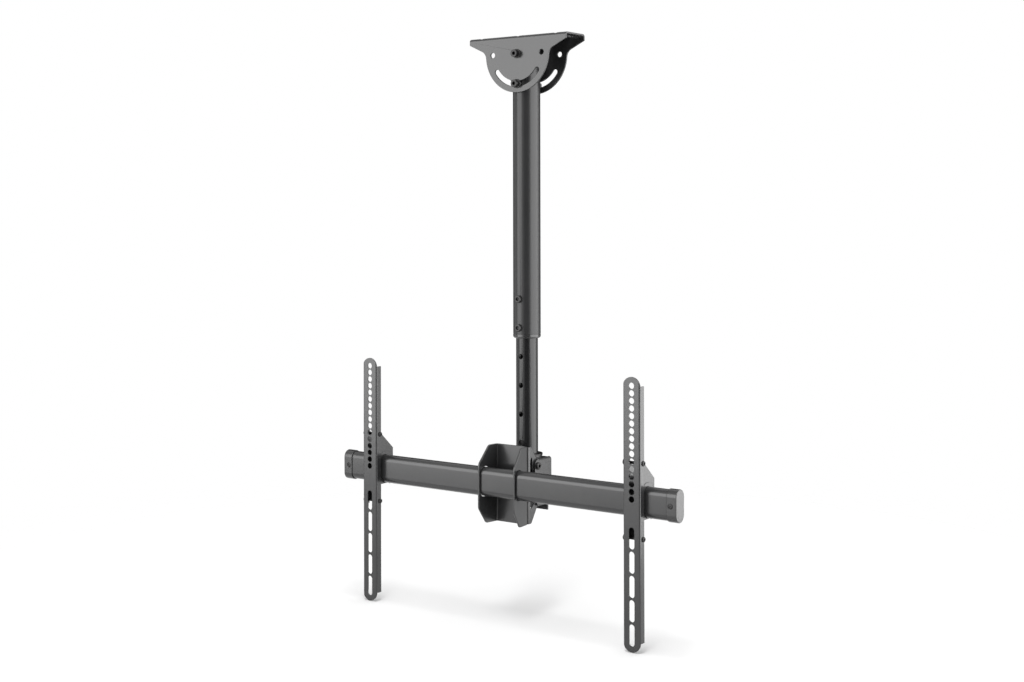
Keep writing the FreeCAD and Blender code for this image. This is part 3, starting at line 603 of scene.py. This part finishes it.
# studio: a pale floor at the rails' feet that fades into a white surround, soft boxes and dark cards
studio = {
    "floorDrop": 0.0006, "floorHalf": 3.0, "floorRoughness": 0.9, "fadeFrom": 0.6, "fadeTo": 1.5,
    "floorColour": (0.80, 0.80, 0.80, 1),  # for the light that it throws back
    "floorSeen": (0.92, 0.92, 0.92, 1),
    "surround": 0.35, "surroundSeen": 1.0,
    "cardColour": (0.004, 0.004, 0.004, 1), "cardHeight": -0.5,
}
# az is the side a lamp or card stands on, in degrees from -Y towards +X. A lamp looks at the point in
# aim, and lights the floor alone or everything but the floor
lamps = {
    "leftBox": {"az": -28, "far": 3.0, "height": 0.0, "aim": (0, 0, -0.5), "size": (2.5, 2.5), "power": 69,
                "on": "mount"},
    "rightBox": {"az": 111.5, "far": 1.02, "height": -0.425, "aim": (0, 0.374, -0.425),
                 "size": (1.59, 1.95), "power": 36, "on": "mount"},
    "topBox": {"az": 26, "far": 2.0, "height": 2.4, "aim": (0, 0, -0.5), "size": (1.6, 1.6), "power": 40,
               "on": "mount"},
    "shadowStrip": {"az": 24, "far": 0.9, "height": 3.87, "aim": (0, 0, -1.0), "size": (0.8, 2.4),
                    "power": 88, "on": "floor"},
    "floorFill": {"az": 36, "far": 0.3, "height": 2.6, "aim": (0, 0, -1.0), "size": (6.0, 6.0), "power": 128,
                  "on": "floor"},
}
darkCards = {
    "frontCard": {"az": 36, "far": 3.6, "size": (3.6, 5.0)},
    "leftCard": {"az": -125, "far": 3.6, "size": (3.8, 5.0)},
    "rightCard": {"az": 192, "far": 3.6, "size": (3.8, 5.0)},
}


def standAt(az, far, height, aim):
    turn = math.radians(az)
    place = Vector((far * math.sin(turn), -far * math.cos(turn), height))
    look = (Vector(aim) - place).to_track_quat("-Z", "Y")
    return Matrix.Translation(place) @ look.to_matrix().to_4x4()


def flatSheet(name, width, depth, material):
    mesh = bmesh.new()
    corners = [(-1, -1), (1, -1), (1, 1), (-1, 1)]
    mesh.faces.new([mesh.verts.new((x * width / 2, y * depth / 2, 0)) for x, y in corners])
    data = bpy.data.meshes.new(name)
    mesh.to_mesh(data)
    mesh.free()
    data.materials.append(material)
    sheet = addObject(name, data)
    return sheet


def seenDirectly(tree):
    # 1 for what the camera, a reflection or a clear piece shows, 0 for light on its way
    path = newNode(tree, "ShaderNodeLightPath", (-900, 0))
    seen = newNode(tree, "ShaderNodeMath", (-650, 0), operation="MAXIMUM")
    through = newNode(tree, "ShaderNodeMath", (-450, 0), operation="MAXIMUM")
    tree.links.new(path.outputs["Is Camera Ray"], seen.inputs[0])
    tree.links.new(path.outputs["Is Glossy Ray"], seen.inputs[1])
    tree.links.new(seen.outputs[0], through.inputs[0])
    tree.links.new(path.outputs["Is Transmission Ray"], through.inputs[1])
    return through.outputs[0]


def makeSurround():
    world = bpy.data.worlds.new("surround")
    bpy.context.scene.world = world
    world.use_nodes = True
    tree = world.node_tree
    back = tree.nodes["Background"]
    level = newNode(tree, "ShaderNodeMapRange", (-50, 0))
    setInputs(back, {"Color": (1, 1, 1, 1)})
    setInputs(level, {"To Min": studio["surround"], "To Max": studio["surroundSeen"]})
    tree.links.new(seenDirectly(tree), level.inputs["Value"])
    tree.links.new(level.outputs["Result"], back.inputs["Strength"])


def makeFloor():
    paint = bpy.data.materials.new("paleFloor")
    paint.use_nodes = True
    tree = paint.node_tree
    shader = tree.nodes["Principled BSDF"]
    colour = newNode(tree, "ShaderNodeMix", (-250, 100), data_type="RGBA")
    where = newNode(tree, "ShaderNodeTexCoord", (-700, 300))
    away = newNode(tree, "ShaderNodeVectorMath", (-500, 300), operation="LENGTH")
    fade = newNode(tree, "ShaderNodeMapRange", (-300, 300), interpolation_type="SMOOTHSTEP")
    clear = newNode(tree, "ShaderNodeBsdfTransparent", (0, -200))
    blend = newNode(tree, "ShaderNodeMixShader", (300, 100))
    setInputs(shader, {"Roughness": studio["floorRoughness"], "Specular IOR Level": 0.0})
    setInputs(colour, {"A": studio["floorColour"], "B": studio["floorSeen"]})
    setInputs(fade, {"From Min": studio["fadeFrom"], "From Max": studio["fadeTo"]})
    link = tree.links.new
    link(seenDirectly(tree), colour.inputs["Factor"])
    link(colour.outputs["Result"], shader.inputs["Base Color"])
    link(where.outputs["Object"], away.inputs[0])
    link(away.outputs["Value"], fade.inputs["Value"])
    link(fade.outputs["Result"], blend.inputs["Fac"])
    link(shader.outputs["BSDF"], blend.inputs[1])
    link(clear.outputs["BSDF"], blend.inputs[2])
    link(blend.outputs["Shader"], tree.nodes["Material Output"].inputs["Surface"])
    floor = flatSheet("paleFloor", 2 * studio["floorHalf"], 2 * studio["floorHalf"], paint)
    floor.location.z = cadLow.z - studio["floorDrop"]
    return floor


# the cards stand around the mount, out of the camera's sight, and only the coat's gloss sees them
def makeCards():
    black = bpy.data.materials.new("darkCard")
    black.use_nodes = True
    shader = black.node_tree.nodes["Principled BSDF"]
    setInputs(shader, {"Base Color": studio["cardColour"], "Specular IOR Level": 0.0})
    height = studio["cardHeight"]
    for name, card in darkCards.items():
        sheet = flatSheet(name, card["size"][0], card["size"][1], black)
        sheet.matrix_world = standAt(card["az"], card["far"], height, (0, 0, height))
        sheet.visible_camera = False
        sheet.visible_diffuse = False
        sheet.visible_shadow = False


def makeLamps(floor):
    reach = {}
    for word, state in (("mount", "EXCLUDE"), ("floor", "INCLUDE")):
        reach[word] = bpy.data.collections.new(word + "Light")
        reach[word].objects.link(floor)
        reach[word].collection_objects[0].light_linking.link_state = state
    for name, lamp in lamps.items():
        light = bpy.data.lights.new(name, "AREA")
        light.shape = "RECTANGLE"
        light.size, light.size_y = lamp["size"]
        light.energy = lamp["power"]
        holder = addObject(name, light)
        holder.matrix_world = standAt(lamp["az"], lamp["far"], lamp["height"], lamp["aim"])
        holder.light_linking.receiver_collection = reach[lamp["on"]]


makeSurround()
makeCards()
makeLamps(makeFloor())
bpy.context.scene.view_settings.view_transform = "Standard"
print("studio ready:", len(lamps), "lamps,", len(darkCards), "cards")
